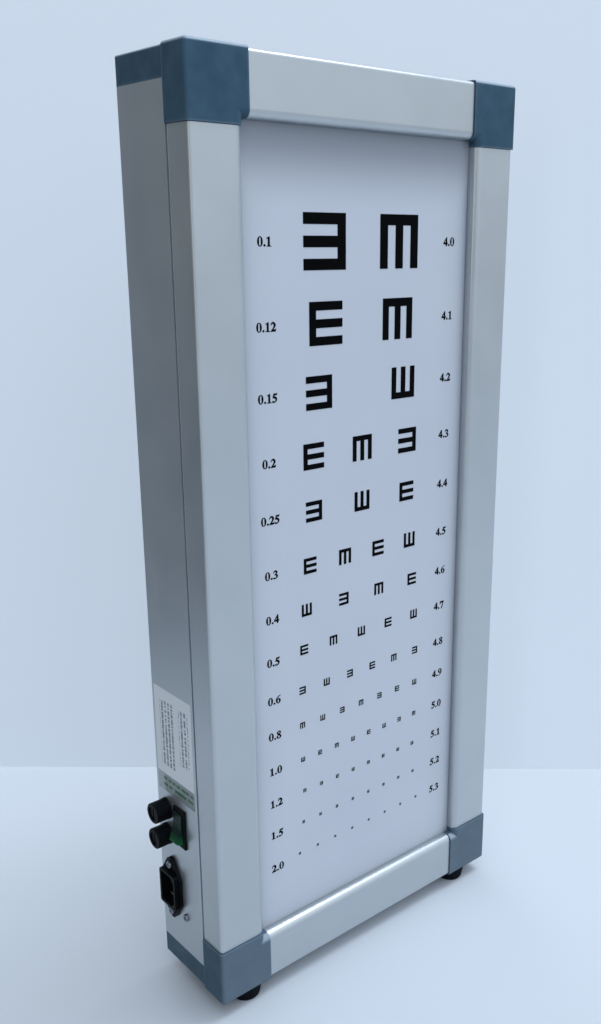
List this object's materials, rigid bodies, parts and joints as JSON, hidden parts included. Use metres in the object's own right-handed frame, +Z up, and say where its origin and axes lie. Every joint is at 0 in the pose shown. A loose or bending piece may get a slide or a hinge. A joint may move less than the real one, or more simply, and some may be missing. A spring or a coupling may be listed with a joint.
{
  "type": "eye chart light box",
  "caption": "Tall shallow light box for an eye chart: snap-open aluminium frame with plastic corners, opal panel printed with E optotypes, and mains inlet, switch and fuses on its left side.",
  "frame": {"origin": "centre of the bounding box on the surface that the feet stand on; the box itself sits 5.65 mm to +X of it, because the fuse caps stand out on the left", "axes": "+Z up, the chart faces -Y, +X is the viewer's right"},
  "size_m": [0.2954, 0.08, 0.662],
  "materials": {
    "anodised_aluminium": "satin silver anodised extrusion",
    "corner_plastic": "slate grey moulded plastic, fine grain",
    "spring_steel": "rolled spring steel",
    "screw_steel": "zinc-plated steel",
    "opal_acrylic": "opal white acrylic sheet, polished",
    "print_black": "screen-printed black ink",
    "painted_steel": "pale grey powder coat",
    "foot_rubber": "moulded black rubber",
    "black_plastic": "moulded black thermoplastic",
    "cap_plastic": "moulded black phenolic, semi-gloss",
    "rocker_green": "translucent green moulded plastic",
    "contact_brass": "plated brass contacts",
    "ferrule_metal": "nickel-plated end caps",
    "fuse_glass": "clear glass tube",
    "label_film": "white printed film label",
    "clear_film": "clear film label",
    "lamp_glass": "phosphor-coated glass tube",
    "lamp_cap_metal": "pressed aluminium lamp caps",
    "white_plastic": "white moulded plastic",
    "wire_pvc": "PVC-covered wire",
    "earth_pvc": "green and yellow PVC-covered wire"
  },
  "bodies": {
    "box": {"back_panel": "painted_steel", "back_panel_screws": "screw_steel", "ballast": "painted_steel", "ballast_screws": "screw_steel", "bottom_rail": "anodised_aluminium", "chart_panel": "opal_acrylic", "chart_print": "print_black", "corner_screws": "screw_steel", "earth_screw": "screw_steel", "earth_wire": "earth_pvc", "foot_screws": "screw_steel", "front_cap_bottom_left": "corner_plastic", "front_cap_bottom_right": "corner_plastic", "front_cap_top_left": "corner_plastic", "front_cap_top_right": "corner_plastic", "fuse_label": "clear_film", "fuse_lugs": "contact_brass", "fuse_ring_nuts": "black_plastic", "inlet_body": "black_plastic", "inlet_nuts": "screw_steel", "inlet_pins": "contact_brass", "inlet_screws": "screw_steel", "lamp_end_caps": "lamp_cap_metal", "lamp_wires": "wire_pvc", "lampholders": "white_plastic", "left_lamp_tube": "lamp_glass", "left_rail": "anodised_aluminium", "lower_fuse_holder": "black_plastic", "mains_wires": "wire_pvc", "rating_label": "label_film", "rear_corner_bottom_left": "corner_plastic", "rear_corner_bottom_right": "corner_plastic", "rear_corner_top_left": "corner_plastic", "rear_corner_top_right": "corner_plastic", "right_lamp_tube": "lamp_glass", "right_rail": "anodised_aluminium", "rubber_feet": "foot_rubber", "snap_springs": "spring_steel", "switch_housing": "black_plastic", "switch_terminals": "contact_brass", "terminal_block": "white_plastic", "top_rail": "anodised_aluminium", "upper_fuse_holder": "black_plastic"},
    "left_cover": {"left_cover_strip": "anodised_aluminium"},
    "right_cover": {"right_cover_strip": "anodised_aluminium"},
    "top_cover": {"top_cover_strip": "anodised_aluminium"},
    "bottom_cover": {"bottom_cover_strip": "anodised_aluminium"},
    "rocker": {"switch_rocker": "rocker_green"},
    "upper_fuse": {"upper_fuse_glass": "fuse_glass", "upper_fuse_ferrules": "ferrule_metal"},
    "upper_fuse_knob": {"upper_fuse_cap": "cap_plastic"},
    "lower_fuse": {"lower_fuse_glass": "fuse_glass", "lower_fuse_ferrules": "ferrule_metal"},
    "lower_fuse_knob": {"lower_fuse_cap": "cap_plastic"}
  },
  "joints": [
    {"name": "left_cover_open", "type": "hinge", "parent": "box", "child": "left_cover", "pos_m": [-0.13295, -0.0169, 0.337], "axis": [0, 0, -1], "range_deg": [0, 90]},
    {"name": "right_cover_open", "type": "hinge", "parent": "box", "child": "right_cover", "pos_m": [0.14425, -0.0169, 0.337], "axis": [0, 0, 1], "range_deg": [0, 90]},
    {"name": "top_cover_open", "type": "hinge", "parent": "box", "child": "top_cover", "pos_m": [0.00565, -0.0169, 0.6586], "axis": [-1, 0, 0], "range_deg": [0, 90]},
    {"name": "bottom_cover_open", "type": "hinge", "parent": "box", "child": "bottom_cover", "pos_m": [0.00565, -0.0169, 0.0154], "axis": [1, 0, 0], "range_deg": [0, 90]},
    {"name": "rocker_tilt", "type": "hinge", "parent": "box", "child": "rocker", "pos_m": [-0.13355, 0.0092, 0.1384], "axis": [0, -1, 0], "range_deg": [0, 24]},
    {"name": "upper_fuse_pull", "type": "slide", "parent": "box", "child": "upper_fuse", "axis": [-1, 0, 0], "range_m": [0, 0.045]},
    {"name": "upper_fuse_turn", "type": "hinge", "parent": "upper_fuse", "child": "upper_fuse_knob", "pos_m": [-0.14115, 0.028, 0.14585], "axis": [-1, 0, 0], "range_deg": [0, 90]},
    {"name": "lower_fuse_pull", "type": "slide", "parent": "box", "child": "lower_fuse", "axis": [-1, 0, 0], "range_m": [0, 0.045]},
    {"name": "lower_fuse_turn", "type": "hinge", "parent": "lower_fuse", "child": "lower_fuse_knob", "pos_m": [-0.14115, 0.028, 0.12475], "axis": [-1, 0, 0], "range_deg": [0, 90]}
  ]
}
